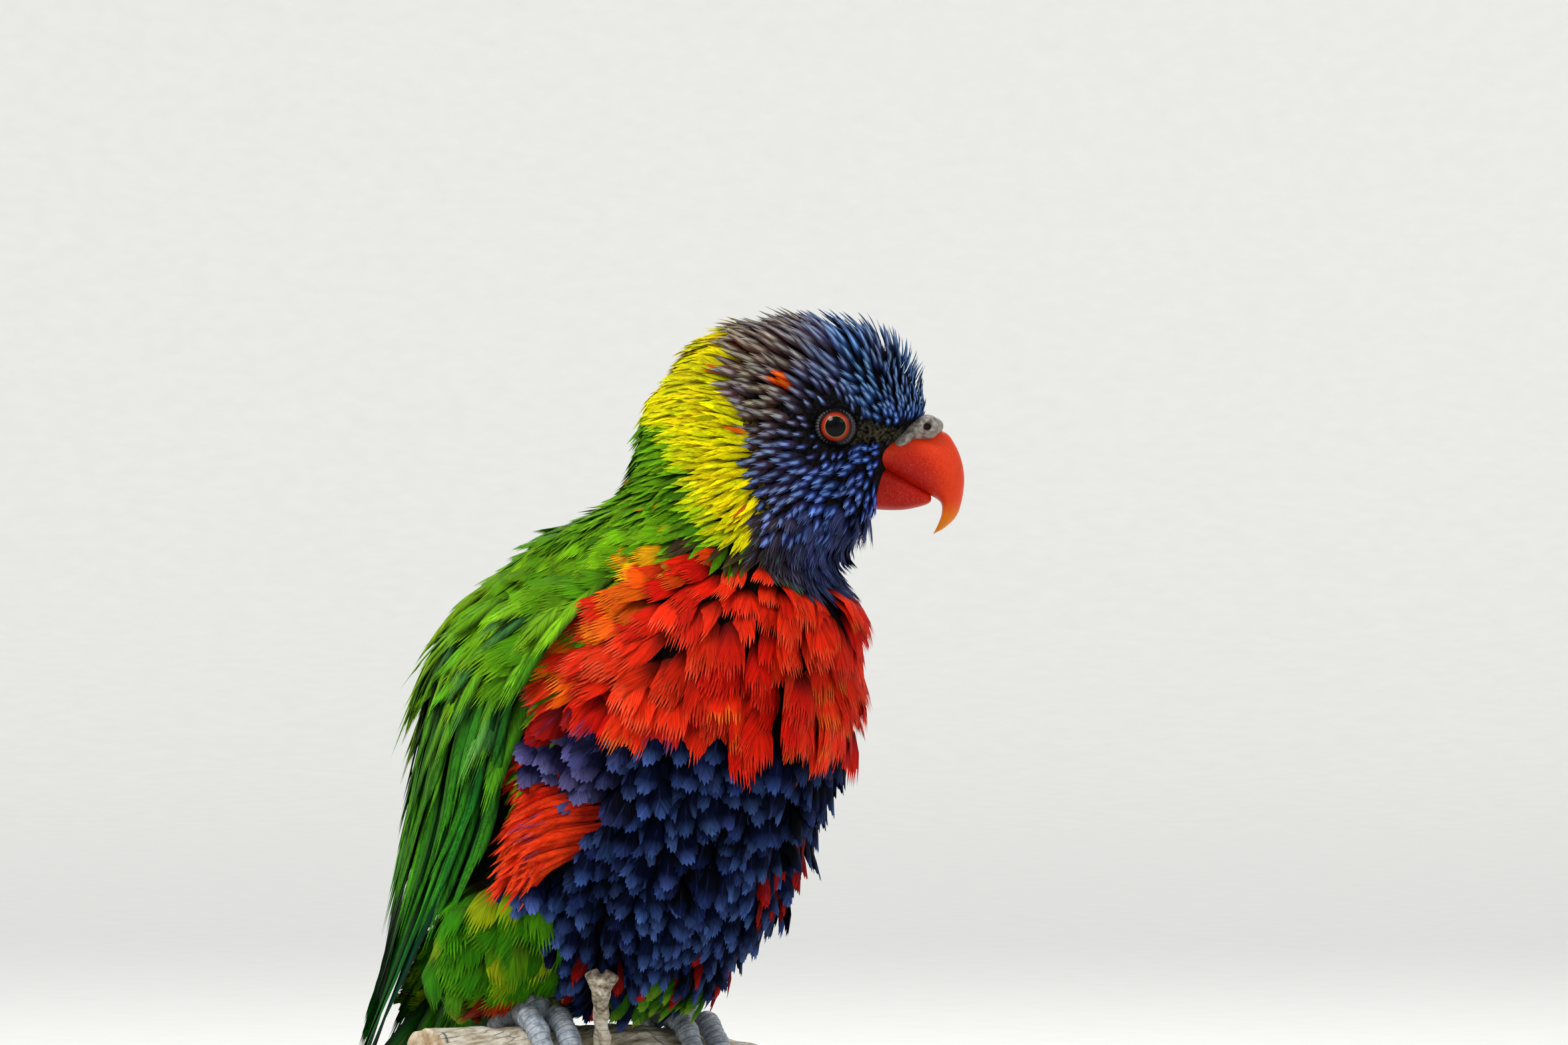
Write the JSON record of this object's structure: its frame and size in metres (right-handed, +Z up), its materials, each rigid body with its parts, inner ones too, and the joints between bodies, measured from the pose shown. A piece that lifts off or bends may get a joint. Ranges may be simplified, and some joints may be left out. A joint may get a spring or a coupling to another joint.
{
  "type": "rainbow lorikeet model",
  "caption": "Perching parrot, life size, head turned aside, gripping a short cut branch held by two thin rods on a flat display base.",
  "frame": {"origin": "middle of the display base's underside", "axes": "+Z up, +X the way the bird's breast faces, +Y towards the bird's left side"},
  "size_m": [0.1727, 0.104, 0.244],
  "materials": {
    "plumage_head": "feathered, satin",
    "plumage_collar": "feathered, satin",
    "plumage_breast": "feathered, satin",
    "plumage_belly": "feathered, satin",
    "plumage_wing": "feathered, satin",
    "plumage_tail": "feathered, satin",
    "plumage_thigh": "feathered, satin",
    "bill": "polished horn",
    "cere": "bare skin",
    "eye": "wet gloss",
    "foot": "scaly skin",
    "claw": "horn",
    "bark": "rough bark",
    "stand_wood": "satin varnish",
    "stand_metal": "brushed"
  },
  "bodies": {
    "root": {"head": "plumage_head", "neck": "plumage_collar", "breast": "plumage_breast", "belly": "plumage_belly", "cere": "cere", "bill_upper": "bill", "bill_lower": "bill", "eye_left": "eye", "eye_right": "eye", "wing_left": "plumage_wing", "wing_right": "plumage_wing", "leg_left": "plumage_thigh", "leg_right": "plumage_thigh", "foot_left": "foot", "foot_right": "foot", "claw_left_1": "claw", "claw_left_2": "claw", "claw_left_3": "claw", "claw_left_4": "claw", "claw_right_1": "claw", "claw_right_2": "claw", "claw_right_3": "claw", "claw_right_4": "claw", "tail": "plumage_tail", "perch": "bark", "stand_base": "stand_wood", "stand_rod_1": "stand_metal", "stand_rod_2": "stand_metal"}
  },
  "joints": []
}
